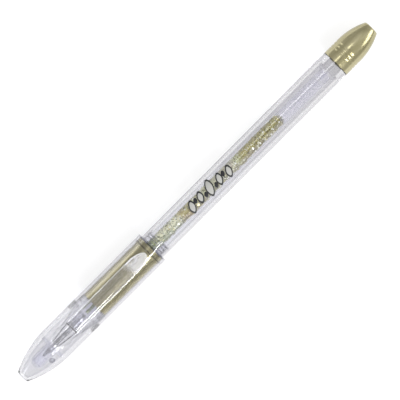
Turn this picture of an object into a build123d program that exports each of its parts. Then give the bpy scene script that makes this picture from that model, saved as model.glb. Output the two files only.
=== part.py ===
from build123d import *
import os
from math import pi

# A capped gel pen, lying on its cap with the clip uppermost. Lengths are in millimetres.
# The pen's axis runs along X, with the writing tip towards -X.
# A station is a distance along the axis from the closed end of the cap.

# Overall sizes
overall_length = 148.0
cap_length = 55.1
plug_length = 15.2        # what shows of the rear plug
refill_radius = 3.1       # every sleeve round the refill is sized outwards from it

# For building only: joined solids overlap by weld, and cutters run past a surface by clear
weld = 0.1
clear = 1.0

# Walls, and the radial fits between them
liner_clearance = 0.10
liner_wall = 0.50
press_gap = 0.02          # between pieces that are pressed or slid together for good
sleeve_wall = 0.73
collar_rise = 0.23        # how far the two guide collars stand out from the grip
cap_fit = 0.07
cap_wall = 0.70
barrel_clearance = 0.25
barrel_step = 0.05        # barrel under the grip, and under the plug
post_fit = 0.05           # cap over the rear plug when it is posted
thread_fit = 0.05

liner_bore = refill_radius + liner_clearance
liner_radius = liner_bore + liner_wall
sleeve_bore = liner_radius + press_gap
grip_radius = sleeve_bore + sleeve_wall
collar_radius = grip_radius + collar_rise
cap_bore = collar_radius + cap_fit
cap_radius = cap_bore + cap_wall
plug_radius = cap_bore - post_fit
barrel_front_radius = grip_radius - barrel_step
barrel_rear_radius = plug_radius - barrel_step
barrel_bore = refill_radius + barrel_clearance

# Cap
cap_taper_length = 15.0
cap_end_drop = 3.5        # from the cap's side to the edge of its blunt end
cap_end_round = 0.8
cap_end_wall = 1.2
cap_front_wall = 1.35     # the cap is thicker ahead of its stop
cap_bore_inset = 0.55     # from the edge of the blunt end in to the edge of the bore
cap_stop_length = 3.0     # the cone inside that meets the front collar's shoulder
cap_stop_reach = 0.95     # from the front of that shoulder back to the end of the cone
mouth_band = 1.7
mouth_groove_width = 0.35
mouth_groove_depth = 0.12
cap_front_bore = cap_radius - cap_front_wall

# Inner cap, a cup that seals the tip
flange_station = 12.4
flange_thickness = 1.0
flange_seat = 0.22        # the step in the cap that stops the flange
vent_count = 4
vent_radius = 0.45
cup_length = 7.5
cup_clearance = 0.35      # between the tip's shank and the cup
cup_wall = 0.6
cup_end_wall = 1.0
cup_mouth_flare = 0.3
seal_gap = 0.12           # the ball's rest from the soft seal

# Clip
clip_root_station = 21.8
clip_mouth_gap = 2.6      # from the end of the tongue to the cap's mouth
clip_width = 4.35
clip_thickness = 1.3
clip_lift = 1.3           # room for cloth between clip and cap
clip_knuckle_gap = 0.05
clip_end_length = 4.0
clip_fall = 0.6           # the tongue's end stands this much lower than its root
clip_edge_round = 0.6
boss_front_station = 13.8
boss_front_sink = 0.15    # its front edge lies just under the cap's surface
boss_front_half_width = 0.9
boss_wide_station = 17.6
boss_wide_rise = 1.35
boss_half_width = 3.0
boss_undercut = 0.5       # lean of the face under the knuckle
pad_from_end = 2.7        # from the end of the tongue to the back of the pad
pad_back_length = 1.0
pad_crest_length = 1.8
pad_ramp_length = 2.4
pad_width = 3.0
pad_gap = 0.08

# Nose cone, liner and grip sleeve
tip_station = 9.1         # the ball's foremost point
nose_overhang = 5.4       # from the ball to the nose cone's rim
nose_rim_wall = 0.5
nose_cone_length = 12.0
nose_shoulder_length = 1.9
nose_shoulder_drop = 0.55
nose_spigot_length = 2.0
nose_spigot_wall = 0.45
nose_bore_draft = 0.1
collar_length = 2.3
rear_collar_length = 2.0
rear_collar_ramp = 0.5
rear_collar_grooves = (0.3, 0.65)    # shares of the collar's length
collar_groove_width = 0.3
collar_groove_depth = 0.12
mouth_overhang = 0.4      # the cap's mouth reaches this far past the grip
thread_land = 0.7
thread_ridges = 3
thread_pitch = 1.0
thread_depth = 0.25
thread_flank = 0.15
thread_crest_width = 0.10
thread_wall = 0.40

# Barrel and rear plug
socket_spare = 0.25
bore_end_from_shoulder = 3.0
neck_length = 8.4
neck_wall = 1.35
snap_groove_depth = 0.27
snap_ridge_height = 0.2
snap_grooves = 2
snap_from_end = 2.0
snap_pitch = 2.2
plug_wall = 0.73
plug_taper_length = 9.5
plug_end_drop = 2.35
plug_end_round = 0.6
plug_end_wall = 1.2
plug_cavity_step = 0.4    # the cavity past the neck is this much narrower than the bore
plug_cavity_inset = 0.6
plug_grooves = 3
plug_groove_start = 2.4
plug_groove_pitch = 1.15
plug_groove_width = 0.4
plug_groove_depth = 0.1

# Refill
refill_wall = 1.0
refill_end_gap = 0.4      # from the back of the refill to the end of the barrel's bore
tail_flange = 0.8
tail_spigot = 2.3
tail_vent_radius = 0.5
ink_fill = 0.81           # share of the tube's bore
follower_length = 15.0
meniscus = 1.3
film_gap = 0.04

# Writing tip
ball_radius = 0.5
ball_fit = 0.02
ball_exposed = 0.3
lip_wall = 0.12
lip_taper = 0.05
lip_length = 0.35
tip_cone_length = 3.7
tip_radius = 1.15
tip_length = 16.3
tip_seat = 2.5
tip_channel = 0.35
tip_fit = 0.10
holder_nozzle_wall = 0.58
holder_nozzle_length = 3.3
holder_nozzle_chamfer = 0.6
holder_nozzle_drop = 0.25
holder_body_rise = 0.3    # from the nozzle's side to the body's
holder_body_chamfer = 0.5
holder_stop_gap = 0.05    # the flange's rest from the nose cone's spigot
holder_flange = 1.2
holder_spigot = 5.5
holder_channel = 0.55
holder_fit = 0.15
valve_ball_radius = 0.75
valve_fit = 0.08
valve_travel = 0.5

# Radii and stations that follow from the sizes above
cup_bore = tip_radius + cup_clearance
nose_rim_radius = tip_radius + tip_fit + nose_rim_wall
holder_nozzle_radius = tip_radius + press_gap + holder_nozzle_wall
holder_body_radius = holder_nozzle_radius + holder_body_rise
neck_radius = plug_radius - plug_wall - press_gap
nose_front = tip_station + nose_overhang
nose_shoulder = nose_front + nose_cone_length
nose_rear = nose_shoulder + nose_shoulder_length
collar_rear = nose_rear + collar_length
grip_rear = cap_length - mouth_overhang
plug_front = overall_length - plug_length
bore_end = plug_front - bore_end_from_shoulder
neck_rear = plug_front + neck_length
snap_stations = [neck_rear - snap_from_end - turn * snap_pitch for turn in range(snap_grooves)]
holder_front = tip_station + tip_length - tip_seat
holder_flange_station = nose_rear + nose_spigot_length + holder_stop_gap
tube_front = holder_flange_station + holder_flange
tube_rear = bore_end - refill_end_gap - tail_flange
tube_bore = refill_radius - refill_wall
ink_end = tube_front + ink_fill * (tube_rear - tube_front)
thread_length = thread_land + thread_ridges * thread_pitch
clip_end = cap_length - clip_mouth_gap
clip_height = cap_radius + clip_lift
hinge_height = clip_height + clip_thickness / 2


def turned(*edges):
    """Solid of revolution about the pen's axis, from the edges of a closed half outline."""
    return revolve(make_face(Curve() + list(edges)), Axis.X)


def turned_points(*points):
    """The same, from the corners of a half outline given as (station, radius)."""
    return revolve(make_face(Polyline(*points, close=True)), Axis.X)


def rod(front, rear, radius):
    return turned_points((front, 0), (front, radius), (rear, radius), (rear, 0))


def tube(front, rear, radius, bore):
    return turned_points((front, bore), (front, radius), (rear, radius), (rear, bore))


def snap_ring(station, base, height):
    """Ring that stands inwards from a bore, or the groove for it, with sloping flanks."""
    return turned_points((station - height, base + weld), (station - height, base),
                         (station - height / 2, base - height), (station + height / 2, base - height),
                         (station + height, base), (station + height, base + weld))


def ogive(tangent_station, radius, end_station, end_radius):
    """Arc that leaves a cylinder's side without a corner and closes in on its end."""
    way = 1 if end_station > tangent_station else -1
    return TangentArc((tangent_station, radius), (end_station, end_radius), tangent=(way, 0))


def dome(apex, rim_station, rim_radius):
    """Arc that crosses the axis squarely, for a rounded or hollowed end."""
    return TangentArc((apex, 0), (rim_station, rim_radius), tangent=(0, 1))


def cap_shell():
    end_radius = cap_radius - cap_end_drop
    outside = turned(
        Line((0, 0), (0, end_radius)),
        ogive(cap_taper_length, cap_radius, 0, end_radius),
        Line((cap_taper_length, cap_radius), (cap_length, cap_radius)),
        Line((cap_length, cap_radius), (cap_length, 0)),
        Line((cap_length, 0), (0, 0)),
    )
    end_edge = outside.edges().filter_by(GeomType.CIRCLE).sort_by(Axis.X)[0]
    outside = fillet(end_edge, cap_end_round)
    groove_station = cap_length - mouth_band - mouth_groove_width
    outside -= tube(groove_station, groove_station + mouth_groove_width, cap_radius + clear,
                    cap_radius - mouth_groove_depth)
    nose_bore = cap_front_bore - flange_seat
    bore_end_radius = end_radius - cap_bore_inset
    stop_rear = nose_shoulder + cap_stop_reach
    inside = turned(
        Line((cap_end_wall, 0), (cap_end_wall, bore_end_radius)),
        ogive(flange_station, nose_bore, cap_end_wall, bore_end_radius),
        Polyline((flange_station, nose_bore), (flange_station, cap_front_bore),
                 (stop_rear - cap_stop_length, cap_front_bore), (stop_rear, cap_bore),
                 (cap_length, cap_bore), (cap_length, 0), (cap_end_wall, 0)),
    )
    knuckle = Pos(clip_root_station, 0, hinge_height) * Rot(90, 0, 0) * Cylinder(
        clip_thickness / 2 + clip_knuckle_gap, clip_width * 2)
    return outside + (clip_boss() - knuckle) - inside


def clip_boss():
    """The root that rises from the cap and carries the clip."""
    top = clip_height + clip_thickness
    base = cap_radius - cap_wall
    side = make_face(Curve() + [
        Line((boss_front_station, base), (boss_front_station, cap_radius - boss_front_sink)),
        Spline((boss_front_station, cap_radius - boss_front_sink),
               (boss_wide_station, cap_radius + boss_wide_rise),
               (clip_root_station, top), tangents=[(1, 0.25), (1, 0)]),
        Line((clip_root_station, top), (clip_root_station, clip_height)),
        Line((clip_root_station, clip_height), (clip_root_station - boss_undercut, base)),
        Line((clip_root_station - boss_undercut, base), (boss_front_station, base)),
    ])
    half = clip_width / 2
    plan = make_face(Curve() + [
        Spline((clip_root_station, half), (boss_wide_station, boss_half_width),
               (boss_front_station, boss_front_half_width), tangents=[(-1, 0), (-1, -1)]),
        Line((boss_front_station, boss_front_half_width), (boss_front_station, -boss_front_half_width)),
        Spline((boss_front_station, -boss_front_half_width), (boss_wide_station, -boss_half_width),
               (clip_root_station, -half), tangents=[(1, -1), (1, 0)]),
        Line((clip_root_station, -half), (clip_root_station, half)),
    ])
    upright = extrude(Plane.XZ * side, boss_half_width + clear, both=True)
    return upright & extrude(plan, top + clear)


def clip():
    """Tongue with a round knuckle at the root and a ramped pad under its end."""
    top = clip_height + clip_thickness
    low_top = top - clip_fall
    side = make_face(Curve() + [
        Line((clip_root_station, clip_height), (clip_root_station, top)),
        TangentArc((clip_root_station, top), (clip_end, low_top), tangent=(1, 0)),
        Line((clip_end, low_top), (clip_end, low_top - clip_thickness)),
        TangentArc((clip_root_station, clip_height), (clip_end, low_top - clip_thickness), tangent=(1, 0)),
    ])
    tongue = extrude(Plane.XZ * side, clip_width, both=True)
    tongue += Pos(clip_root_station, 0, hinge_height) * Rot(90, 0, 0) * Cylinder(
        clip_thickness / 2, clip_width * 2)
    round_station = clip_end - clip_end_length
    front = clip_root_station - clip_thickness
    plan = Pos((front + round_station) / 2, 0) * Rectangle(round_station - front, clip_width)
    plan += Pos(round_station, 0) * Ellipse(clip_end_length, clip_width / 2)
    tongue &= extrude(plan, top + clear)
    crown = tongue.faces().sort_by(Axis.Z)[-1]
    rim = crown.edges().filter_by(lambda edge: abs(edge.tangent_at(0.5).Y) < 0.99)
    return fillet(rim, clip_edge_round) + clip_pad()


def clip_pad():
    """The bump that nips cloth against the cap, with a ramp that leads the cloth in."""
    rear = clip_end - pad_from_end
    crest_rear = rear - pad_back_length
    crest_front = crest_rear - pad_crest_length
    front = crest_front - pad_ramp_length
    foot = cap_radius + pad_gap
    root = clip_height + clip_thickness / 4
    side = make_face(Polyline(
        (front, root), (crest_front, foot), (crest_rear, foot), (rear, root), close=True))
    pad = extrude(Plane.XZ * side, pad_width / 2, both=True)
    return pad - rod(front, rear, foot)


def inner_cap():
    cup_front = flange_station - cup_length
    cup_radius = cup_bore + cup_wall
    flange_radius = cap_front_bore - press_gap
    flange_rear = flange_station + flange_thickness
    cup = turned(
        dome(cup_front, cup_front + cup_radius, cup_radius),
        Polyline((cup_front + cup_radius, cup_radius), (flange_station, cup_radius),
                 (flange_station, flange_radius), (flange_rear, flange_radius),
                 (flange_rear, cup_bore + cup_mouth_flare), (flange_station, cup_bore),
                 (cup_front + cup_end_wall, cup_bore), (cup_front + cup_end_wall, 0),
                 (cup_front, 0)),
    )
    notch = Rot(0, 90, 0) * Cylinder(vent_radius, 3 * flange_thickness)
    for turn in range(vent_count):
        angle = 360 / vent_count * (turn + 0.5)
        cup -= Rot(angle, 0, 0) * Pos(flange_station, 0, flange_radius) * notch
    return cup


def tip_seal():
    front = flange_station - cup_length + cup_end_wall
    return rod(front, tip_station - seal_gap, cup_bore - press_gap)


def nose_cone():
    """Clear cone round the metal tip, with a spigot into the liner."""
    shoulder_radius = collar_radius - nose_shoulder_drop
    spigot_radius = liner_bore + nose_spigot_wall
    spigot_rear = nose_rear + nose_spigot_length
    body = turned(
        Line((nose_front, 0), (nose_front, nose_rim_radius)),
        Line((nose_front, nose_rim_radius), (nose_shoulder, shoulder_radius)),
        TangentArc((nose_rear, collar_radius), (nose_shoulder, shoulder_radius), tangent=(-1, 0)),
        Polyline((nose_rear, collar_radius), (nose_rear, spigot_radius),
                 (spigot_rear, spigot_radius), (spigot_rear, 0), (nose_front, 0)),
    )
    tip_hole = tip_radius + tip_fit
    nozzle_hole = holder_nozzle_radius + holder_fit
    body_hole = holder_body_radius + holder_fit + nose_bore_draft
    nozzle_front = holder_front - 2 * holder_fit
    nozzle_rear = holder_front + holder_nozzle_length
    inside = turned_points(
        (nose_front, 0), (nose_front, tip_hole), (nozzle_front, tip_hole),
        (nozzle_front, nozzle_hole), (nozzle_rear, nozzle_hole + nose_bore_draft),
        (nozzle_rear + holder_body_chamfer, body_hole), (spigot_rear, body_hole), (spigot_rear, 0))
    return body - inside


def grip_liner():
    """Tube under the grip: front collar, and the screwed end that enters the barrel."""
    spigot_hole = liner_bore + nose_spigot_wall + press_gap
    spigot_hole_rear = nose_rear + nose_spigot_length + press_gap
    thread_crest = liner_bore + thread_wall + thread_depth
    thread_root = liner_bore + thread_wall
    thread_rear = grip_rear + thread_length
    body = rod(nose_rear, collar_rear, collar_radius)
    body += rod(collar_rear, grip_rear, liner_radius)
    body += rod(grip_rear, grip_rear + thread_land, thread_crest)
    body += rod(grip_rear, thread_rear, thread_root)
    for turn in range(thread_ridges):
        front = grip_rear + thread_land + (turn + 0.5) * thread_pitch
        crest_front = front + thread_flank
        crest_rear = crest_front + thread_crest_width
        rear = crest_rear + thread_flank
        body += turned_points(
            (front, 0), (front, thread_root), (crest_front, thread_crest),
            (crest_rear, thread_crest), (rear, thread_root), (rear, 0))
    body -= rod(nose_rear, spigot_hole_rear, spigot_hole)
    return body - rod(nose_rear, thread_rear, liner_bore)


def grip_sleeve():
    body = tube(collar_rear, grip_rear, grip_radius, sleeve_bore)
    collar_front = grip_rear - rear_collar_length
    ramp_front = collar_front - rear_collar_ramp
    body += turned_points(
        (ramp_front, grip_radius - weld), (ramp_front, grip_radius),
        (collar_front, collar_radius), (grip_rear, collar_radius), (grip_rear, grip_radius - weld))
    for share in rear_collar_grooves:
        front = collar_front + share * rear_collar_length
        body -= tube(front, front + collar_groove_width, collar_radius + clear,
                     collar_radius - collar_groove_depth)
    return body


def barrel():
    """Clear tube with a socket for the grip's thread, and a neck for the rear plug."""
    socket_radius = liner_bore + thread_wall + thread_depth + thread_fit
    socket_rear = grip_rear + thread_length + socket_spare
    body = turned_points(
        (grip_rear, 0), (grip_rear, barrel_front_radius), (plug_front, barrel_rear_radius),
        (plug_front, neck_radius), (neck_rear, neck_radius), (neck_rear, 0))
    for station in snap_stations:
        body -= snap_ring(station, neck_radius, snap_groove_depth)
    body -= rod(grip_rear, socket_rear, socket_radius)
    body -= rod(socket_rear, bore_end, barrel_bore)
    return body - rod(bore_end, neck_rear, neck_radius - neck_wall)


def rear_plug():
    """Hollow end cap, pressed over the barrel's neck."""
    end_radius = plug_radius - plug_end_drop
    taper_start = overall_length - plug_taper_length
    bore = neck_radius + press_gap
    outside = turned(
        Line((plug_front, 0), (plug_front, plug_radius)),
        Line((plug_front, plug_radius), (taper_start, plug_radius)),
        ogive(taper_start, plug_radius, overall_length, end_radius),
        Line((overall_length, end_radius), (overall_length, 0)),
        Line((overall_length, 0), (plug_front, 0)),
    )
    end_edge = outside.edges().filter_by(GeomType.CIRCLE).sort_by(Axis.X)[-1]
    outside = fillet(end_edge, plug_end_round)
    for groove in range(plug_grooves):
        front = plug_front + plug_groove_start + groove * plug_groove_pitch
        outside -= tube(front, front + plug_groove_width, plug_radius + clear,
                        plug_radius - plug_groove_depth)
    cavity_start = neck_rear + press_gap
    cavity_end = overall_length - plug_end_wall
    cavity_radius = bore - plug_cavity_step
    cavity_end_radius = end_radius - plug_cavity_inset
    inside = turned(
        Polyline((plug_front, 0), (plug_front, bore), (cavity_start, bore),
                 (cavity_start, cavity_radius)),
        ogive(cavity_start, cavity_radius, cavity_end, cavity_end_radius),
        Polyline((cavity_end, cavity_end_radius), (cavity_end, 0), (plug_front, 0)),
    )
    plug = outside - inside
    for station in snap_stations:
        plug += snap_ring(station, bore, snap_ridge_height)
    return plug


def refill_tube():
    return tube(tube_front, tube_rear, refill_radius, tube_bore)


def tail_plug():
    """Vented stopper in the back of the refill."""
    spigot_radius = tube_bore - press_gap
    body = rod(tube_rear, tube_rear + tail_flange, refill_radius)
    body += rod(tube_rear - tail_spigot, tube_rear, spigot_radius)
    return body - rod(tube_rear - tail_spigot, tube_rear + tail_flange, tail_vent_radius)


def ink_column():
    """Ink in the tube and in the channel of the tip holder, rounded where the follower sits."""
    front = holder_front + tip_seat + 2 * (valve_ball_radius + valve_fit) + valve_travel
    holder_rear = tube_front + holder_spigot
    channel = holder_channel - press_gap
    radius = tube_bore - press_gap
    return turned(
        Polyline((ink_end, 0), (front, 0), (front, channel), (holder_rear + press_gap, channel),
                 (holder_rear + press_gap, radius), (ink_end - meniscus, radius)),
        dome(ink_end, ink_end - meniscus, radius),
    )


def follower():
    """Clear grease that closes the ink off behind, hollowed at both ends."""
    radius = tube_bore - press_gap
    front = ink_end + film_gap
    rear = ink_end + follower_length
    return turned(
        dome(front, front - meniscus, radius),
        Line((front, 0), (rear - meniscus, 0)),
        dome(rear - meniscus, rear, radius),
        Line((rear, radius), (front - meniscus, radius)),
    )


def tip_holder():
    """Nozzle that grips the metal tip, a cage for the valve ball, and a spigot into the tube."""
    seat_rear = holder_front + tip_seat
    nozzle_rear = holder_front + holder_nozzle_length
    spigot_rear = tube_front + holder_spigot
    spigot_radius = tube_bore - press_gap
    cage_radius = valve_ball_radius + valve_fit
    cage_rear = seat_rear + 2 * cage_radius + valve_travel - press_gap
    body = turned_points(
        (holder_front, 0), (holder_front, holder_nozzle_radius - holder_nozzle_drop),
        (holder_front + holder_nozzle_chamfer, holder_nozzle_radius), (nozzle_rear, holder_nozzle_radius),
        (nozzle_rear + holder_body_chamfer, holder_body_radius), (holder_flange_station, holder_body_radius),
        (holder_flange_station, refill_radius), (tube_front, refill_radius),
        (tube_front, spigot_radius), (spigot_rear, spigot_radius), (spigot_rear, 0))
    body -= rod(holder_front, seat_rear, tip_radius + press_gap)
    body -= rod(seat_rear, cage_rear, cage_radius)
    return body - rod(cage_rear, spigot_rear, holder_channel)


def tip_body():
    """Metal tip: lip round the ball, cone, and shank pressed into the holder."""
    socket = ball_radius + ball_fit
    lip_front = tip_station + ball_exposed
    lip_radius = socket + lip_wall
    cone_rear = tip_station + tip_cone_length
    rear = tip_station + tip_length
    body = turned_points(
        (lip_front, 0), (lip_front, lip_radius - lip_taper), (lip_front + lip_length, lip_radius),
        (cone_rear, tip_radius), (rear, tip_radius), (rear, 0))
    body -= Pos(tip_station + ball_radius) * Sphere(socket)
    return body - rod(tip_station + ball_radius, rear, tip_channel)


def writing_ball():
    return Pos(tip_station + ball_radius) * Sphere(ball_radius)


def valve_ball():
    return Pos(holder_front + tip_seat + valve_fit + valve_ball_radius) * Sphere(valve_ball_radius)


nodes = [cap_shell, clip, inner_cap, tip_seal, nose_cone, grip_liner, grip_sleeve, barrel,
         rear_plug, refill_tube, tail_plug, ink_column, follower, tip_holder, tip_body,
         writing_ball, valve_ball]

# The origin is under the middle of the pen, on the surface that it lies on.
to_frame = Pos(-overall_length / 2, 0, cap_radius)
os.makedirs("parts", exist_ok=True)
for node in nodes:
    export_step(to_frame * node(), f"parts/{node.__name__}.step")
print("clip flexes about x", clip_root_station - overall_length / 2, "z", cap_radius + hinge_height)
print("ball centre x", tip_station + ball_radius - overall_length / 2, "z", cap_radius)
print("screw moves", 2 * pi / thread_pitch * 1000, "rad per metre")
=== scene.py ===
import math
import random

import bmesh
import bpy
from mathutils import Matrix, Vector, noise


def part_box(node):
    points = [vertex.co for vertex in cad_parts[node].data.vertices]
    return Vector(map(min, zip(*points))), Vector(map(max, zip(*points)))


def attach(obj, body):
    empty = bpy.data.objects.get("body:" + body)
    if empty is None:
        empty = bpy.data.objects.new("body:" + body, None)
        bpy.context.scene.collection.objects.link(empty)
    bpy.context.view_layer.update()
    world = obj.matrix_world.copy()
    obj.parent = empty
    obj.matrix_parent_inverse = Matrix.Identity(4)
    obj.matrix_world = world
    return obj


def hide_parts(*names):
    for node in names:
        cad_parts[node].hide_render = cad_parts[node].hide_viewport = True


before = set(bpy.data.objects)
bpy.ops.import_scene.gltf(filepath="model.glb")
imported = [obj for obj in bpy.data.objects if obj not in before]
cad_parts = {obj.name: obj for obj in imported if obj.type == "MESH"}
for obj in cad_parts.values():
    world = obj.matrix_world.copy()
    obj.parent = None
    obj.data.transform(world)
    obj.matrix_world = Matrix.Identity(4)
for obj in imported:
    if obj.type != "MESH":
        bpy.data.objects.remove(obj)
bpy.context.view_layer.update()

mm = 0.001
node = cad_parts
scene = bpy.context.scene
axisHeight = (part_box("barrel")[0].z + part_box("barrel")[1].z) / 2    # the pen's axis is along X
axisPoint = Vector((0, 0, axisHeight))


# shader maths: an expression on wires adds Math nodes
class Wire:
    def __init__(self, finish, socket):
        self.finish = finish
        self.socket = socket

    def math(self, operation, *others):
        values = dict(enumerate((self,) + others))
        return self.finish.add("ShaderNodeMath", {"operation": operation}, values)

    def __add__(self, other):
        return self.math("ADD", other)

    __radd__ = __add__

    def __mul__(self, other):
        return self.math("MULTIPLY", other)

    __rmul__ = __mul__

    def __sub__(self, other):
        return self.math("SUBTRACT", other)

    def __rsub__(self, other):
        return self * -1 + other

    def __truediv__(self, other):
        return self.math("DIVIDE", other)


# one material, or the sky when its tree is given
class Finish:
    def __init__(self, name, tree=None):
        if tree is None:
            self.material = bpy.data.materials.new(name)
            self.material.use_nodes = True
        self.tree = tree or self.material.node_tree
        self.tree.nodes.clear()

    def add(self, kind, settings=None, sockets=None, out=0):
        made = self.tree.nodes.new(kind)
        for key, value in (settings or {}).items():
            if key == "stops":
                self.setStops(made.color_ramp, value)
            else:
                setattr(made, key, value)
        for key, value in (sockets or {}).items():
            if isinstance(value, Wire):
                self.tree.links.new(value.socket, made.inputs[key])
            else:
                made.inputs[key].default_value = value
        return Wire(self, made.outputs[out]) if len(made.outputs) else made

    def setStops(self, ramp, stops):
        while len(ramp.elements) < len(stops):
            ramp.elements.new(1.0)
        for element, (place, colour) in zip(ramp.elements, stops):
            element.position = place
            element.color = (*colour, 1)

    def place(self, stretch=(1, 1, 1)):    # Object coordinates
        spot = self.add("ShaderNodeTexCoord", out="Object")
        return self.add("ShaderNodeMapping", {}, {"Vector": spot, "Scale": stretch})

    def along(self, name):    # one Object coordinate, in metres
        spot = self.add("ShaderNodeTexCoord", out="Object")
        return self.add("ShaderNodeSeparateXYZ", {}, {0: spot}, out=name)

    def noise(self, scale, detail=2, stretch=(1, 1, 1), roughness=0.5):
        return self.add("ShaderNodeTexNoise", {}, {
            "Vector": self.place(stretch), "Scale": scale, "Detail": detail, "Roughness": roughness})

    def cells(self, scale):    # one random value for each cell
        colour = self.add("ShaderNodeTexVoronoi", {}, {"Vector": self.place(), "Scale": scale}, out="Color")
        return self.add("ShaderNodeSeparateColor", {}, {0: colour}, out=0)

    def near(self, value, place, inner, outer):    # 1 within inner of the place, 0 beyond outer
        return 1 - self.band((value - place).math("ABSOLUTE"), inner, outer)

    def ramp(self, value, *stops):
        return self.add("ShaderNodeValToRGB", {"stops": stops}, {"Fac": value})

    def band(self, value, low, high):    # 0 at low, 1 at high
        return self.add("ShaderNodeMapRange", {"interpolation_type": "SMOOTHSTEP"}, {
            "Value": value, "From Min": low, "From Max": high})

    def blend(self, factor, one, other):
        colours = {key: value if isinstance(value, Wire) else (*value, 1)
                   for key, value in ((6, one), (7, other))}
        return self.add("ShaderNodeMix", {"data_type": "RGBA"}, {0: factor, **colours}, out=2)

    def bump(self, height, distance, strength):
        return self.add("ShaderNodeBump", {}, {
            "Height": height, "Distance": distance, "Strength": strength})

    def mixShader(self, factor, one, other):
        return self.add("ShaderNodeMixShader", {}, {0: factor, 1: one, 2: other})

    def surface(self, **sockets):    # Base_Color=... sets "Base Color"
        named = {key.replace("_", " "): value for key, value in sockets.items()}
        for key, value in named.items():
            if isinstance(value, tuple):
                named[key] = (*value, 1)
        return self.add("ShaderNodeBsdfPrincipled", {}, named)

    def seeThrough(self, tint):
        return self.add("ShaderNodeBsdfTransparent", {}, {"Color": (*tint, 1)})

    def facing(self, blend):    # 0 seen straight on, 1 seen edge on
        return self.add("ShaderNodeLayerWeight", {}, {"Blend": blend}, out="Facing")

    def done(self, shader):
        self.add("ShaderNodeOutputMaterial", {}, {"Surface": shader})
        return self.material


def darker(colour, share):
    return tuple(share * part for part in colour)


# for lamps the plastic is see-through, so that it throws no black shadow
def letLampsThrough(finish, shader, tint):
    shadowRay = finish.add("ShaderNodeLightPath", out="Is Shadow Ray")
    return finish.done(finish.mixShader(shadowRay, shader, finish.seeThrough(tint)))


# polished clear plastic: painted shade darkens its colour from front to rear along the barrel, and painted
# shade makes a wall darker where it is seen edge on; rings are dark lines at steps and frost is one matt
# ring, as place, width, strength
clearLook = {
    "shadeRampFrom": -20 * mm,
    "shadeRampTo": 55 * mm,
    "ring": (0.42, 0.42, 0.47),
    "shadow": (0.94, 0.94, 0.96),
    "edgeShadeFrom": 0.22,
    "edgeShadeTo": 0.55,
    "refraction": 1.5,
}


def clearPlastic(name, front, rear, edge, rings=(), frost=None):
    finish = Finish(name)
    smears = finish.noise(300, 3, (0.3, 1, 1))
    flow = finish.noise(900, 2, (0.06, 1, 1))
    x = finish.along("X")
    # painted shade: the colour darkens from the front colour to the rear one along X
    tone = finish.blend(finish.band(x, clearLook["shadeRampFrom"], clearLook["shadeRampTo"]), front, rear)
    for place, width, strength in rings:
        line = finish.near(x, place, width * 0.4, width)
        tone = finish.blend(line * strength, tone, clearLook["ring"])
    rough = smears * 0.03
    if frost:
        place, width, strength = frost
        rough = rough + finish.near(x, place, width * 0.6, width) * strength
    polish = {"Roughness": rough, "IOR": clearLook["refraction"], "Transmission Weight": 1.0,
              "Normal": finish.bump(flow, 0.012 * mm, 0.5)}
    middle = finish.surface(Base_Color=tone, **polish)
    # painted shade: the darker edge colour, mixed in below where a wall is seen edge on
    side = finish.surface(Base_Color=finish.blend(smears, edge, darker(edge, 0.9)), **polish)
    paintedEdgeShade = finish.band(finish.facing(0.5), clearLook["edgeShadeFrom"], clearLook["edgeShadeTo"])
    return letLampsThrough(finish, finish.mixShader(paintedEdgeShade, middle, side), clearLook["shadow"])


# cloudy plastic or gel that shows what is behind it, without bending it; cover is how much it hides
def cloudyPlastic(name, colour, cover, edge, grain, rough=0.25):
    finish = Finish(name)
    cloud = finish.noise(grain, 4, (0.5, 1, 1))
    body = finish.surface(
        Base_Color=finish.blend(cloud, colour, darker(colour, 0.8)),
        Roughness=cloud * 0.2 + rough, Normal=finish.bump(cloud, 0.02 * mm, 0.5))
    amount = finish.facing(0.4) * edge + finish.band(cloud, 0.3, 0.7) * cover + cover * 0.5
    return finish.done(finish.mixShader(amount, finish.seeThrough((0.97, 0.97, 0.985)), body))


# plastic with fine metal powder in it
def goldPlastic(name, light, dark):
    finish = Finish(name)
    streaks = finish.noise(500, 4, (0.12, 1, 1))
    grain = finish.cells(14000)
    colour = finish.blend(finish.band(streaks, 0.3, 0.7), dark, light)
    colour = finish.blend(finish.band(grain, 0.75, 1.0) * 0.35, colour, (0.72, 0.68, 0.46))
    return finish.done(finish.surface(
        Base_Color=colour, Metallic=0.72, Roughness=grain * 0.12 + streaks * 0.08 + 0.09,
        Coat_Weight=0.15, Coat_Roughness=0.06, Normal=finish.bump(grain + streaks, 0.01 * mm, 0.25)))
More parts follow.
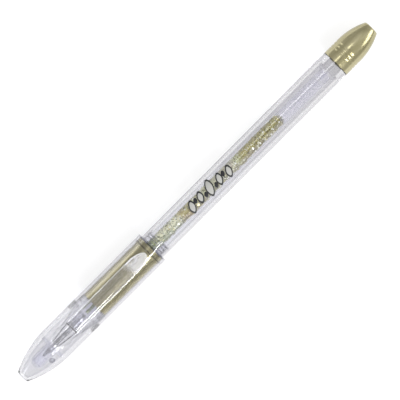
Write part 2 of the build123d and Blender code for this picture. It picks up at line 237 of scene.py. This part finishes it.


# gel whose colour changes along the tube, with dark clots and pale specks, and painted shade that darkens
# its -Y side
def glitterInk(name, front, rear):
    finish = Finish(name)
    share = (finish.along("X") - front) / (rear - front)
    mottle = finish.noise(1700, 5, (0.8, 1, 1), 0.7)
    fleck = finish.cells(2700)
    clots = finish.noise(420, 3, (0.7, 1, 1))
    gel = finish.ramp(
        share, (0.0, (0.24, 0.30, 0.08)), (0.03, (0.38, 0.45, 0.13)), (0.06, (1.0, 1.0, 0.66)),
        (0.20, (1.0, 1.0, 0.68)), (0.24, (0.56, 0.46, 0.16)), (0.29, (0.68, 0.65, 0.27)),
        (0.40, (0.90, 0.93, 0.56)), (0.62, (0.84, 0.80, 0.60)), (0.66, (0.60, 0.64, 0.26)),
        (0.71, (0.54, 0.48, 0.12)), (0.86, (0.49, 0.45, 0.10)), (1.0, (0.52, 0.47, 0.11)))
    clot = finish.ramp(
        share, (0.0, (0.06, 0.09, 0.02)), (0.2, (0.20, 0.22, 0.12)), (0.26, (0.18, 0.12, 0.03)),
        (0.5, (0.20, 0.20, 0.10)), (0.7, (0.17, 0.14, 0.04)), (1.0, (0.16, 0.14, 0.04)))
    # painted shade: the -Y side is pulled towards the dark clot colour
    low = finish.band(finish.along("Y"), 0.6 * mm, -0.8 * mm)
    amount = finish.band(mottle + clots * 0.5 + low * 0.2, 0.84, 0.98)
    colour = finish.blend(amount * 0.75, finish.blend(low * 0.75, gel, clot), clot)
    colour = finish.blend(finish.band(fleck, 0.84, 0.88) * 0.5, colour, (0.93, 0.96, 0.70))
    colour = finish.blend(finish.band(fleck, 0.22, 0.18) * 0.7, colour, clot)
    return finish.done(finish.surface(
        Base_Color=colour, Roughness=mottle * 0.3 + 0.15, Metallic=0.15,
        Normal=finish.bump(mottle, 0.1 * mm, 0.6)))


# foil for the glitter flakes; its glow is a painted glint, though the flakes are no lamp
def flakeFoil(name, colour, rough, paintedGlint):
    finish = Finish(name)
    wrinkle = finish.noise(4000, 2)
    tone = finish.blend(wrinkle, colour, darker(colour, 0.6))
    return finish.done(finish.surface(
        Base_Color=tone, Metallic=0.7, Roughness=wrinkle * 0.1 + rough, Emission_Color=tone,
        Emission_Strength=paintedGlint, Normal=finish.bump(wrinkle, 0.01 * mm, 0.4)))


def turnedMetal(name, colour, rough):
    finish = Finish(name)
    rings = finish.noise(9000, 2, (1, 0.05, 0.05))
    stain = finish.noise(500, 3)
    tone = finish.blend(finish.band(stain, 0.4, 0.8) * 0.5, colour, darker(colour, 0.55))
    return finish.done(finish.surface(
        Base_Color=tone, Metallic=1.0, Roughness=rings * 0.15 + rough,
        Normal=finish.bump(rings, 0.01 * mm, 0.5)))


def printInk(name, colour, rough):
    finish = Finish(name)
    screen = finish.noise(3500, 3)
    return finish.done(finish.surface(
        Base_Color=finish.blend(screen * 0.6, colour, darker(colour, 0.6)),
        Roughness=screen * 0.2 + rough, Normal=finish.bump(screen, 0.01 * mm, 0.6)))


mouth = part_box("cap_shell")[1].x    # of the cap
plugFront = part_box("rear_plug")[0].x
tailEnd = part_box("tail_plug")[1].x
barrelEnd = ((plugFront + tailEnd) / 2, 2.6 * mm, 0.22)
mouthRing = (mouth - 1.9 * mm, 0.3 * mm, 0.9)
mouthEdge = (mouth - 0.2 * mm, 0.4 * mm, 0.9)
capFrost = (mouth - 29.1 * mm, 1.8 * mm, 0.22)
# the third colour of each is its painted edge shade; only on the barrel does painted shade make the rear
# darker than the front
clear = clearPlastic(
    "clear_plastic", (0.88, 0.88, 0.90), (0.80, 0.795, 0.80), (0.56, 0.555, 0.58), [barrelEnd])
clearNose = clearPlastic(
    "clear_nose_plastic", (0.97, 0.97, 0.98), (0.97, 0.97, 0.98), (0.80, 0.795, 0.82))
clearCap = clearPlastic(
    "clear_cap_plastic", (0.83, 0.83, 0.85), (0.83, 0.83, 0.85), (0.63, 0.625, 0.66),
    [mouthRing, mouthEdge], capFrost)
cloudy = cloudyPlastic("frosted_plastic", (0.81, 0.81, 0.815), 0.03, 0.20, 500)
innerClear = cloudyPlastic("soft_clear_plastic", (0.76, 0.76, 0.80), 0.03, 0.55, 400, 0.1)
grease = cloudyPlastic("follower_grease", (0.90, 0.90, 0.885), 0.14, 0.1, 900)
gold = goldPlastic("gold_plastic", (0.52, 0.475, 0.285), (0.35, 0.315, 0.165))
metal = turnedMetal("nickel_silver", (0.85, 0.85, 0.86), 0.06)
steel = turnedMetal("hard_metal", (0.45, 0.45, 0.47), 0.08)
rubber = cloudyPlastic("seal_rubber", (0.80, 0.80, 0.83), 0.06, 0.25, 1500, 0.4)
print("finishes made")


sharpRing = math.radians(30)    # rings with a sharper corner than this are rounded


# turns a half outline of (x, radius) in metres round the pen's axis
def turnOutline(bm, points, steps=96):
    verts = [bm.verts.new((x, 0, axisHeight + radius)) for x, radius in points]
    edges = [bm.edges.new(pair) for pair in zip(verts, verts[1:] + verts[:1])]
    bmesh.ops.spin(bm, geom=verts + edges, cent=axisPoint, axis=(1, 0, 0), angle=math.tau,
                   steps=steps, use_merge=True)
    bmesh.ops.remove_doubles(bm, verts=bm.verts, dist=0.001 * mm)
    bmesh.ops.recalc_face_normals(bm, faces=bm.faces)


def ringEdges(bm, angle):    # sharp edges that run round the axis
    return [edge for edge in bm.edges
            if abs(edge.verts[0].co.x - edge.verts[1].co.x) < 0.005 * mm
            and edge.is_manifold and edge.calc_face_angle() > angle]


def breakEdges(bm, edges, width):
    bmesh.ops.bevel(bm, geom=edges, offset=width, segments=2, profile=0.5, affect="EDGES",
                    material=-1, clamp_overlap=True)


# sharp is the angle in degrees above which an edge is shaded sharp
def addPiece(name, bm, body, materials, replaced=(), sharp=40, weighted=False):
    mesh = bpy.data.meshes.new(name)
    bm.to_mesh(mesh)
    bm.free()
    for material in materials:
        mesh.materials.append(material)
    mesh.shade_smooth()
    mesh.set_sharp_from_angle(angle=math.radians(sharp))
    piece = bpy.data.objects.new(name, mesh)
    scene.collection.objects.link(piece)
    if weighted:
        piece.modifiers.new("flat faces stay flat", "WEIGHTED_NORMAL").keep_sharp = True
    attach(piece, body)
    if replaced:
        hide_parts(*replaced)
    return piece


# a gold CAD node again, with its sharp rings rounded as a mould leaves them
def softened(name, piece, body, width):
    bm = bmesh.new()
    bm.from_mesh(node[name].data)
    bmesh.ops.remove_doubles(bm, verts=bm.verts, dist=0.002 * mm)
    bmesh.ops.dissolve_limit(bm, angle_limit=math.radians(0.5), verts=bm.verts, edges=bm.edges)
    breakEdges(bm, ringEdges(bm, sharpRing), width)
    return addPiece(piece, bm, body, [gold], [name], weighted=True)


softened("rear_plug", "rearPlug", "barrel_body", 0.06 * mm)
softened("grip_sleeve", "gripSleeve", "front", 0.05 * mm)
print("gold pieces rounded")

# these CAD nodes keep their shape and only get a finish
for name, material in {
        "cap_shell": clearCap, "inner_cap": innerClear, "tip_seal": rubber, "nose_cone": clearNose,
        "barrel": clear, "refill_tube": cloudy, "tail_plug": cloudy, "follower": grease,
        "tip_holder": cloudy, "writing_ball": steel, "valve_ball": steel}.items():
    node[name].material_slots[0].material = material


# clear clip: a domed tongue swept from its round knuckle, with a ramped pad under its end
clip = {
    "steps": 56,
    "knuckleTurns": (8, 25, 45, 65),    # degrees round the knuckle
    "thickness": 1.3 * mm,
    "side": 0.35,           # height of the upright part of its side, as a share of the thickness
    "flank": 1.15 * mm,     # width of the sloping side
    "fall": 0.6 * mm,       # of the tongue's end, below its root
    "endLength": 5.0 * mm,  # of the pointed end
    "endPower": 1.7,        # 1 is a straight point, 2 a round one
    "endWidth": 0.06,       # share of the width that is left at the very end
    "endRound": 0.12 * mm,
    "padHalf": 1.45 * mm,
    "padRear": 2.7 * mm,    # from the tongue's end
    "padBack": 1.0 * mm,
    "padCrest": 1.8 * mm,
    "padRamp": 2.4 * mm,
}


def makeClip():
    low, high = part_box("clip")
    half = (high.y - low.y) / 2
    thick = clip["thickness"]
    root = low.x + thick / 2    # the knuckle's centre
    length = high.x - root
    reach = (length ** 2 + clip["fall"] ** 2) / (2 * clip["fall"])    # radius of the tongue's arc
    padStops = [high.x - clip["padRear"]]
    for key in ("padBack", "padCrest", "padRamp"):
        padStops.append(padStops[-1] - clip[key])

    def topAt(x):
        return high.z - reach + math.sqrt(reach ** 2 - max(0.0, x - root) ** 2)

    def padAt(x, bottom):
        rear, crestRear, crestFront, front = padStops
        if x <= front or x >= rear:
            return bottom
        share = min(1.0, (x - front) / (crestFront - front), (rear - x) / (rear - crestRear))
        return bottom + (low.z - bottom) * share

    def widthAt(x):
        toEnd = max(0.0, high.x - x)
        if toEnd >= clip["endLength"]:
            return half
        share = 1 - toEnd / clip["endLength"]
        return half * max(clip["endWidth"], math.sqrt(1 - share ** clip["endPower"]))

    # the section: side as a share of half the width, height as a share of the thickness, -1 on the pad
    upright, slope = clip["side"], clip["flank"] / half
    outline = [(-1, 0.0), (-1, upright)]
    for turn in range(0, 91, 15):    # the flank's curve, from the edge up to the crown
        angle = math.radians(turn)
        outline.append((-1 + slope * (1 - math.cos(angle)), upright + (1 - upright) * math.sin(angle)))
    outline += [(-0.25, 1.0)]
    outline += [(-side, height) for side, height in reversed(outline)]
    pad = clip["padHalf"] / half
    padFoot = pad + 0.02
    under = [(padFoot, 0.0), (pad, -1), (0.3, -1), (-0.3, -1), (-pad, -1), (-padFoot, 0.0)]
    section = outline + under

    def shape(verts, x, squeeze):
        top, wide = topAt(x), widthAt(x)
        bottom = top - thick
        middle = (top + bottom) / 2
        for vert, (side, height) in zip(verts, section):
            z = padAt(x, bottom) if height < 0 else bottom + height * thick
            vert.co = (x, side * wide, middle + (z - middle) * squeeze)

    bm = bmesh.new()
    ring = [bm.verts.new((0, side, height)) for side, height in section]
    face = bm.faces.new(ring)
    stations = [(root - thick / 2 * math.cos(math.radians(turn)), math.sin(math.radians(turn)))
                for turn in clip["knuckleTurns"]]
    stations += [(root + length * step / clip["steps"], 1.0) for step in range(clip["steps"])]
    stations += [(stop + shift, 1.0) for stop in padStops for shift in (-0.02 * mm, 0.02 * mm)]
    stations += [(high.x - clip["endRound"], 0.9), (high.x, 0.5)]
    stations.sort()
    shape(ring, *stations[0])
    for x, squeeze in stations[1:]:
        grown = bmesh.ops.extrude_face_region(bm, geom=[face])["geom"]
        face = next(part for part in grown if isinstance(part, bmesh.types.BMFace))
        shape([loop.vert for loop in face.loops], x, squeeze)
    bmesh.ops.recalc_face_normals(bm, faces=bm.faces)
    return addPiece("clipTongue", bm, "clip_arm", [clipPlastic()], ["clip"], sharp=35)


def clipPlastic():    # clear, with a painted highlight that whitens it where its sides slope, and whiter towards its end
    finish = Finish("clear_clip_plastic")
    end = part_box("clip")[1].x
    flow = finish.noise(900, 2, (0.08, 1, 1))
    glass = finish.surface(
        Base_Color=finish.blend(flow, (0.97, 0.97, 0.98), (0.93, 0.93, 0.95)), Roughness=flow * 0.05,
        IOR=1.5, Transmission_Weight=1.0, Normal=finish.bump(flow, 0.02 * mm, 0.5))
    milkAndHighlight = finish.surface(Base_Color=(0.97, 0.97, 0.98), Roughness=0.15)
    # painted highlight: the sloping sides are mixed towards a white surface
    paintedSlopeHighlight = finish.band(finish.facing(0.5), 0.14, 0.5)
    tail = finish.band(finish.along("X"), end - 8 * mm, end - 5 * mm) * finish.band(flow, 0.35, 0.6)
    body = finish.mixShader(paintedSlopeHighlight * 0.45 + tail * 0.35 + 0.03, glass, milkAndHighlight)
    return letLampsThrough(finish, body, (0.97, 0.97, 0.98))


makeClip()
print("clip made")


# grip liner with a real screw thread; radii and lengths in millimetres, from front to rear
liner = {
    "bore": 3.2, "pocket": 3.67, "pocketLength": 2.02, "collar": 4.68, "collarLength": 2.3,
    "body": 3.7, "land": 3.85, "landLength": 0.7, "edge": 0.04,
    "root": 3.6, "crest": 3.85, "sunk": 0.05,    # thread, sunk a little into the liner
    "pitch": 1.0, "turns": 2.6, "flank": 0.15, "crestWidth": 0.1, "threadGap": 0.1, "stepsPerTurn": 36,
}


def makeLiner():
    front, rear = (corner.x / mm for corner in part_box("grip_liner"))
    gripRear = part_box("grip_sleeve")[1].x / mm
    collarRear = front + liner["collarLength"]
    landRear = gripRear + liner["landLength"]
    pocketRear = front + liner["pocketLength"]
    outline = [
        (front, liner["pocket"]), (front, liner["collar"]), (collarRear, liner["collar"]),
        (collarRear, liner["body"]), (gripRear, liner["body"]), (gripRear, liner["land"]),
        (landRear, liner["land"]), (landRear, liner["root"]), (rear, liner["root"]),
        (rear, liner["bore"]), (pocketRear, liner["bore"]), (pocketRear, liner["pocket"])]
    bm = bmesh.new()
    turnOutline(bm, [(x * mm, radius * mm) for x, radius in outline])
    breakEdges(bm, ringEdges(bm, sharpRing), liner["edge"] * mm)
    start = landRear + liner["threadGap"]
    foot = liner["root"] - liner["sunk"]
    crestEnd = liner["flank"] + liner["crestWidth"]
    profile = [(0, foot), (liner["flank"], liner["crest"]), (crestEnd, liner["crest"]),
               (crestEnd + liner["flank"], foot)]
    verts = [bm.verts.new(((start + x) * mm, 0, axisHeight + radius * mm)) for x, radius in profile]
    cap = bm.faces.new(verts)
    perTurn = liner["stepsPerTurn"]
    steps = int(perTurn * liner["turns"])
    bmesh.ops.spin(bm, geom=[cap] + list(cap.edges) + verts, cent=axisPoint, axis=(1, 0, 0),
                   dvec=(liner["pitch"] / perTurn * mm, 0, 0), angle=math.tau * steps / perTurn,
                   steps=steps, use_merge=False)
    bmesh.ops.recalc_face_normals(bm, faces=bm.faces)
    return addPiece("gripLiner", bm, "front", [clearNose], ["grip_liner"],
                    weighted=True)


makeLiner()
print("liner and thread made")


# metal tip, turned from bar, in millimetres
tip = {
    "lip": 0.6,         # outer radius at the ball
    "lipRound": 0.04,
    "lipLength": 0.3,
    "socket": 0.5,      # inner radius at the ball
    "socketDepth": 0.5,
    "channel": 0.35,
    "channelFrom": 1.1,
    "cone": 3.4,        # length
    "coneStep": 0.12,   # how far the cone ends inside the body's radius
    "neck": 0.2,        # depth of the cut at the cone's end
    "neckLength": 0.25,
    "shoulder": 0.04,   # chamfer behind that cut
    "grooves": (1.2, 1.7, 8.4, 8.9),    # behind the cone
    "groove": 0.08,     # depth
    "grooveWidth": 0.2,
    "grooveSide": 0.06,
    "rearRound": 0.15,
}


def makeTip():
    low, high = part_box("tip_body")
    front, rear, radius = low.x / mm, high.x / mm, (high.z - low.z) / 2 / mm
    coneEnd = front + tip["cone"]
    neckRear = coneEnd - tip["neckLength"]
    neckFront = neckRear - tip["neckLength"]
    neck = radius - tip["neck"]
    outline = [(front, tip["socket"]), (front, tip["lip"]),
               (front + tip["lipLength"], tip["lip"] + tip["lipRound"]),
               (neckFront, radius - tip["coneStep"]), (neckFront, neck), (neckRear, neck),
               (neckRear, radius - tip["shoulder"]), (coneEnd, radius)]
    bottom, side = radius - tip["groove"], tip["grooveSide"]
    for shift in tip["grooves"]:
        start = coneEnd + shift
        end = start + tip["grooveWidth"]
        outline += [(start, radius), (start + side, bottom), (end - side, bottom), (end, radius)]
    outline += [(rear - tip["rearRound"], radius), (rear, radius - tip["rearRound"]),
                (rear, tip["channel"]), (front + tip["channelFrom"], tip["channel"]),
                (front + tip["socketDepth"], tip["socket"])]
    bm = bmesh.new()
    turnOutline(bm, [(x * mm, radius * mm) for x, radius in outline], steps=64)
    return addPiece("metalTip", bm, "refill", [metal], ["tip_body"], weighted=True)


makeTip()
print("tip made")


# round dark disc on the cap beside its nose: painted shade, put where light bent by the cap leaves a dark
# spot
shadeSpot = {
    "x": -63.9 * mm,
    "y": -2.8 * mm,
    "radius": 0.95 * mm,
    "depth": 0.08 * mm,
    "round": 0.03 * mm,
    "above": 30 * mm,    # height from which the cap's surface is looked for
}


def makeShadeSpot():
    above = Vector((shadeSpot["x"], shadeSpot["y"], shadeSpot["above"]))
    _, spot, normal, _ = node["cap_shell"].ray_cast(above, Vector((0, 0, -1)))
    bm = bmesh.new()
    turn = normal.to_track_quat("Z", "X").to_matrix().to_4x4()
    bmesh.ops.create_cone(
        bm, cap_ends=True, segments=32, radius1=shadeSpot["radius"], radius2=shadeSpot["radius"],
        depth=shadeSpot["depth"], matrix=Matrix.Translation(spot) @ turn)
    rim = [edge for edge in bm.edges if edge.calc_face_angle() > 1]
    breakEdges(bm, rim, shadeSpot["round"])
    # painted shade: a dark grey, partly see-through disc
    mark = cloudyPlastic("painted_shade_spot", (0.26, 0.26, 0.30), 0.25, 0.3, 900)
    return addPiece("shadeSpotDisc", bm, "cap", [mark], sharp=30)


# the dark disc of painted shade
makeShadeSpot()
print("gate mark made")


# ink: a column that has shrunk from one side of its tube
ink = {
    "radius": 2.06 * mm,
    "channel": 0.5 * mm,
    "spigot": 9.7 * mm,     # length of the thin front part
    "step": 0.3 * mm,
    "dome": 2.4 * mm,       # length of the rounded rear end
    "domePower": 2.2,
    "hollow": -1.5 * mm,    # the side of the tube that the ink has left
    "flattened": 0.2,       # share of its roundness that the ink keeps on that side
    "ragged": 0.55 * mm,
    "ripple": 0.05 * mm,
    "coloursFrom": -19 * mm,
}


def makeInk():
    low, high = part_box("ink_column")
    body = low.x + ink["spigot"]
    count = int((high.x - body) / ink["step"])
    outline = [(low.x, 0), (low.x, ink["channel"]), (body, ink["channel"])]
    for index in range(count + 1):
        x = body + (high.x - body) * index / count
        share = max(0.0, 1 - (high.x - x) / ink["dome"])
        outline.append((x, ink["radius"] * math.sqrt(max(0.0, 1 - share ** ink["domePower"]))))
    bm = bmesh.new()
    turnOutline(bm, outline, steps=56)
    for vert in bm.verts:
        if vert.co.x < body + ink["step"]:
            continue
        at = vert.co / mm    # a slow wave and a fine ripple make the side ragged
        wave = noise.noise(Vector((at.x * 0.55, 3.1, at.z * 0.3)))
        fine = noise.noise(Vector((at.x * 2.2, at.y * 1.2, at.z * 1.2)))
        edge = ink["hollow"] + ink["ragged"] * (wave * 0.8 + fine * 0.45)
        if vert.co.y < edge:
            vert.co.y = edge + (vert.co.y - edge) * ink["flattened"]
        vert.co.y += ink["ripple"] * fine
        vert.co.z += ink["ripple"] * noise.noise(Vector((at.x * 2.2, at.y, at.z + 9)))
    inkFinish = glitterInk("glitter_ink", ink["coloursFrom"], high.x)
    return addPiece("inkColumn", bm, "refill", [inkFinish], ["ink_column"], sharp=60)


inkPiece = makeInk()


# flakes that lie on the ink's surface, each with one of three foils
glitter = {
    "count": 900,
    "size": (0.13 * mm, 0.32 * mm),
    "thickness": 0.015 * mm,
    "lift": 0.02 * mm,
    "lean": 0.35,
    "shares": (0.35, 0.25, 0.4),    # gold, silver, olive
    "from": 0.3 * mm,               # behind the ink's thin front part
    "seed": 11,
}


def makeGlitter():
    random.seed(glitter["seed"])
    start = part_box("ink_column")[0].x + ink["spigot"] + glitter["from"]
    bm = bmesh.new()
    surface = [vert for vert in inkPiece.data.vertices if vert.co.x > start]
    for _ in range(glitter["count"]):
        vert = random.choice(surface)
        lean = Vector([random.gauss(0, glitter["lean"]) for _ in range(3)])
        way = (Vector(vert.normal) + lean).normalized()
        size = random.uniform(*glitter["size"])
        spot = vert.co + Vector(vert.normal) * glitter["lift"]
        turn = way.to_track_quat("Z", "X").to_matrix().to_4x4()
        made = bmesh.ops.create_cone(
            bm, cap_ends=True, segments=6, radius1=size, radius2=size, depth=glitter["thickness"],
            matrix=Matrix.Translation(spot) @ turn)["verts"]
        foil = random.choices((0, 1, 2), glitter["shares"])[0]
        for face in {face for corner in made for face in corner.link_faces}:
            face.material_index = foil
    # the last number of each foil is its painted glint
    foils = [flakeFoil("gold_foil", (0.95, 0.88, 0.42), 0.12, 0.25),
             flakeFoil("silver_foil", (0.97, 0.99, 0.93), 0.08, 0.9),
             flakeFoil("olive_foil", (0.10, 0.10, 0.02), 0.3, 0.0)]
    return addPiece("glitterFlakes", bm, "refill", foils, sharp=20)


makeGlitter()
print("ink and glitter made")


# bubbles in the follower; each bubble's skin has painted shade at its rim, where it is seen edge on
bubbles = {
    "count": 80,
    "size": (0.14 * mm, 0.36 * mm),
    "wall": 1.15 * mm,        # between the refill tube's outside and the outermost bubble
    "frontGap": 2 * mm,
    "rearGap": 1 * mm,
    "seed": 5,
}


def shadedRimBubbleSkin():
    finish = Finish("bubble")
    # painted shade: a dark grey skin, mixed in towards the rim
    rim = finish.band(finish.facing(0.5), 0.35, 0.85)
    film = finish.noise(2500, 2)
    shell = finish.surface(
        Base_Color=finish.blend(film, (0.35, 0.35, 0.42), (0.25, 0.25, 0.30)),
        Roughness=film * 0.1 + 0.03, Coat_Weight=1.0)
    clearPart = finish.seeThrough((0.97, 0.97, 0.99))
    return finish.done(finish.mixShader(rim * 0.8 + 0.1, clearPart, shell))


def makeBubbles():
    random.seed(bubbles["seed"])
    low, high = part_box("follower")
    bm = bmesh.new()
    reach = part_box("refill_tube")[1].z - axisHeight - bubbles["wall"]
    for _ in range(bubbles["count"]):
        size = random.uniform(*bubbles["size"]) * random.uniform(0.5, 1)
        out = (reach - size) * math.sqrt(random.uniform(0.2, 1))
        angle = random.uniform(0, math.tau)
        x = random.uniform(low.x + bubbles["frontGap"], high.x - bubbles["rearGap"])
        spot = Vector((x, out * math.cos(angle), axisHeight + out * math.sin(angle)))
        bmesh.ops.create_icosphere(bm, subdivisions=2, radius=size, matrix=Matrix.Translation(spot))
    return addPiece("airBubbles", bm, "refill", [shadedRimBubbleSkin()], sharp=60)


makeBubbles()
print("bubbles made")


# printed pattern on the barrel: a chain of outlined lozenges, generic and without lettering
pattern = {
    "start": -3.1 * mm,
    # half length, half height and rise of each shape in millimetres; every second one is a plain dot
    "shapes": [(1.25, 2.2, -0.2), (0.7, 0.9, 0.5), (1.2, 2.0, 0.2), (0.7, 0.9, -0.5), (1.45, 2.9, 0.3),
               (0.7, 0.9, -0.6), (1.2, 2.1, 0.1), (0.7, 0.9, 0.5), (1.2, 2.1, -0.3)],
    "spacing": 0.97,        # less than 1 lets neighbours touch
    "line": 0.42 * mm,      # outline at the sides
    "topLine": 1.6,         # how much thicker it is above and below
    "corners": 44,
    "slices": 0.35 * mm,    # strips narrow enough to follow the barrel
    "pointed": 1.55,        # 1 is a straight-sided lozenge, 2 an oval
    "lean": 0.25,
    "roll": 0.04,           # turn round the barrel towards +Y
    "lift": 0.008 * mm,
    "thickness": 0.012 * mm,
    "frontStep": 0.28 * mm,    # the barrel's front radius below the grip sleeve's collar
}


def lozenge(bm, middle, wide, tall, height, material):
    ring = bmesh.ops.create_circle(bm, cap_ends=True, segments=pattern["corners"], radius=1)["verts"]
    for vert in ring:
        angle = math.atan2(vert.co.y, vert.co.x)
        power = pattern["pointed"]
        reach = (abs(math.cos(angle)) ** power + abs(math.sin(angle)) ** power) ** (-1 / power)
        across = tall * reach * math.sin(angle)
        vert.co = (middle[0] + wide * reach * math.cos(angle) + across * pattern["lean"],
                   middle[1] + across, height)
    ring[0].link_faces[0].material_index = material


def makePattern():
    low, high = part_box("barrel")
    sleeveLow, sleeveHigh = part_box("grip_sleeve")
    frontRadius = (sleeveHigh.z - sleeveLow.z) / 2 - pattern["frontStep"]
    rearRadius = (high.z - low.z) / 2
    bm = bmesh.new()
    x = pattern["start"]
    line = pattern["line"]
    for index, shape in enumerate(pattern["shapes"]):
        wide, tall, rise = (size * mm for size in shape)
        x += wide * pattern["spacing"]
        lozenge(bm, (x, rise), wide, tall, 0, 0)
        if index % 2 == 0:    # pale inside, on top of the black
            inner = tall - pattern["topLine"] * line
            lozenge(bm, (x, rise), wide - line, inner, pattern["thickness"] / 2, 1)
        x += wide * pattern["spacing"]
    grown = bmesh.ops.extrude_face_region(bm, geom=list(bm.faces))["geom"]
    raised = [part for part in grown if isinstance(part, bmesh.types.BMVert)]
    bmesh.ops.translate(bm, verts=raised, vec=(0, 0, pattern["thickness"]))
    reach = max(vert.co.y for vert in bm.verts)
    level = min(vert.co.y for vert in bm.verts)
    while level < reach:
        everything = list(bm.verts) + list(bm.edges) + list(bm.faces)
        bmesh.ops.bisect_plane(bm, geom=everything, plane_co=(0, level, 0), plane_no=(0, 1, 0))
        level += pattern["slices"]
    for vert in bm.verts:
        share = (vert.co.x - low.x) / (plugFront - low.x)
        radius = frontRadius + (rearRadius - frontRadius) * share + pattern["lift"] + vert.co.z
        angle = vert.co.y / radius + pattern["roll"]
        vert.co = (vert.co.x, radius * math.sin(angle), axisHeight + radius * math.cos(angle))
    bmesh.ops.recalc_face_normals(bm, faces=bm.faces)
    inks = [printInk("black_print", (0.012, 0.012, 0.016), 0.35),
            printInk("pale_print", (0.60, 0.60, 0.57), 0.4)]
    return addPiece("barrelPrint", bm, "barrel_body", inks, sharp=30)


makePattern()
print("print made")


# floor, lamps, sky and camera
studio = {
    "floorSize": 3.0,
    "floorGlow": 0.73,
    "lamps": {    # place, aim, length, width, watts
        "plug strip": ((0.14, 0.23, 0.87), (0.06, 0, 0), 0.22, 0.13, 0.30),
        "cap strip": ((-0.08, -0.565, 0.67), (-0.045, 0, 0), 0.075, 0.36, 2.1),
        "rear": ((0.75, -0.60, 0.50), (0.07, 0, 0), 0.7, 0.34, 3.2),
        "cap side": ((-0.055, 0.5, 0.09), (-0.035, 0, 0), 0.14, 0.22, 0.16),
        "front": ((-0.9, 0.3, 0.5), (-0.06, 0, 0), 0.6, 0.3, 1.2),
    },
    "zenith": 0.80,
    "horizon": 0.54,
    "edge": 0.25,          # just above the floor
    "left": 0.40,          # towards +Y
    "overhead": 0.15,      # straight above
    "bounces": 32,         # light passes many clear walls
}


def paper():
    finish = Finish("paper")
    fibre = finish.noise(60, 3)
    return finish.done(finish.surface(
        Base_Color=finish.blend(fibre, (0.36, 0.36, 0.36), (0.34, 0.34, 0.345)), Roughness=0.9,
        Emission_Color=(1.0, 1.0, 1.0), Emission_Strength=studio["floorGlow"]))


def makeFloor():
    bm = bmesh.new()
    bmesh.ops.create_grid(bm, x_segments=1, y_segments=1, size=studio["floorSize"])
    mesh = bpy.data.meshes.new("floor")
    bm.to_mesh(mesh)
    bm.free()
    mesh.materials.append(paper())
    floor = bpy.data.objects.new("floor", mesh)
    scene.collection.objects.link(floor)


def makeLamps():
    for name, (spot, aim, length, width, power) in studio["lamps"].items():
        light = bpy.data.lights.new(name, "AREA")
        light.shape = "RECTANGLE"
        light.size = length
        light.size_y = width
        light.energy = power
        lamp = bpy.data.objects.new(name, light)
        scene.collection.objects.link(lamp)
        lamp.location = spot
        lamp.rotation_mode = "QUATERNION"
        lamp.rotation_quaternion = (Vector(aim) - Vector(spot)).to_track_quat("-Z", "Y")


def makeSky():
    scene.world = bpy.data.worlds.new("studio")
    scene.world.use_nodes = True
    sky = Finish("sky", scene.world.node_tree)
    way = sky.add("ShaderNodeTexCoord", out="Generated")
    height = sky.add("ShaderNodeSeparateXYZ", {}, {0: way}, out="Z")
    across = sky.add("ShaderNodeSeparateXYZ", {}, {0: way}, out="Y")
    grey = {key: 3 * (studio[key],) for key in ("zenith", "horizon", "edge", "left", "overhead")}
    light = sky.ramp(height, (0.0, grey["edge"]), (0.10, grey["edge"]), (0.2, grey["horizon"]),
                     (0.5, grey["horizon"]), (0.85, grey["zenith"]))
    light = sky.blend(sky.band(across, 0.25, 0.6) * 0.6, light, grey["left"])
    light = sky.blend(sky.band(height, 0.985, 0.995), light, grey["overhead"])
    background = sky.add("ShaderNodeBackground", {}, {"Color": light})
    sky.add("ShaderNodeOutputWorld", {}, {"Surface": background})


# the camera looks straight down; shift moves it to the right and up in its own picture
shot = {
    "lens": 300,
    "sensor": 36,
    "roll": -45.02,        # degrees
    "span": 119.9 * mm,    # width of the picture at the pen's axis
    "shift": (0.93 * mm, 0.72 * mm),
}


def makeCamera():
    data = bpy.data.cameras.new("camera")
    data.lens = shot["lens"]
    data.sensor_width = shot["sensor"]
    camera = bpy.data.objects.new("camera", data)
    scene.collection.objects.link(camera)
    roll = math.radians(shot["roll"])
    across = Vector((math.cos(roll), math.sin(roll), 0))
    up = Vector((-math.sin(roll), math.cos(roll), 0))
    distance = shot["span"] * shot["lens"] / shot["sensor"]
    right, rise = shot["shift"]
    camera.location = across * right + up * rise + Vector((0, 0, axisHeight + distance))
    camera.rotation_euler = (0, 0, roll)
    scene.camera = camera


makeFloor()
makeLamps()
makeSky()
makeCamera()
scene.view_settings.view_transform = "Standard"
scene.cycles.max_bounces = studio["bounces"]
scene.cycles.transmission_bounces = studio["bounces"]
scene.cycles.transparent_max_bounces = studio["bounces"]
print("studio made")
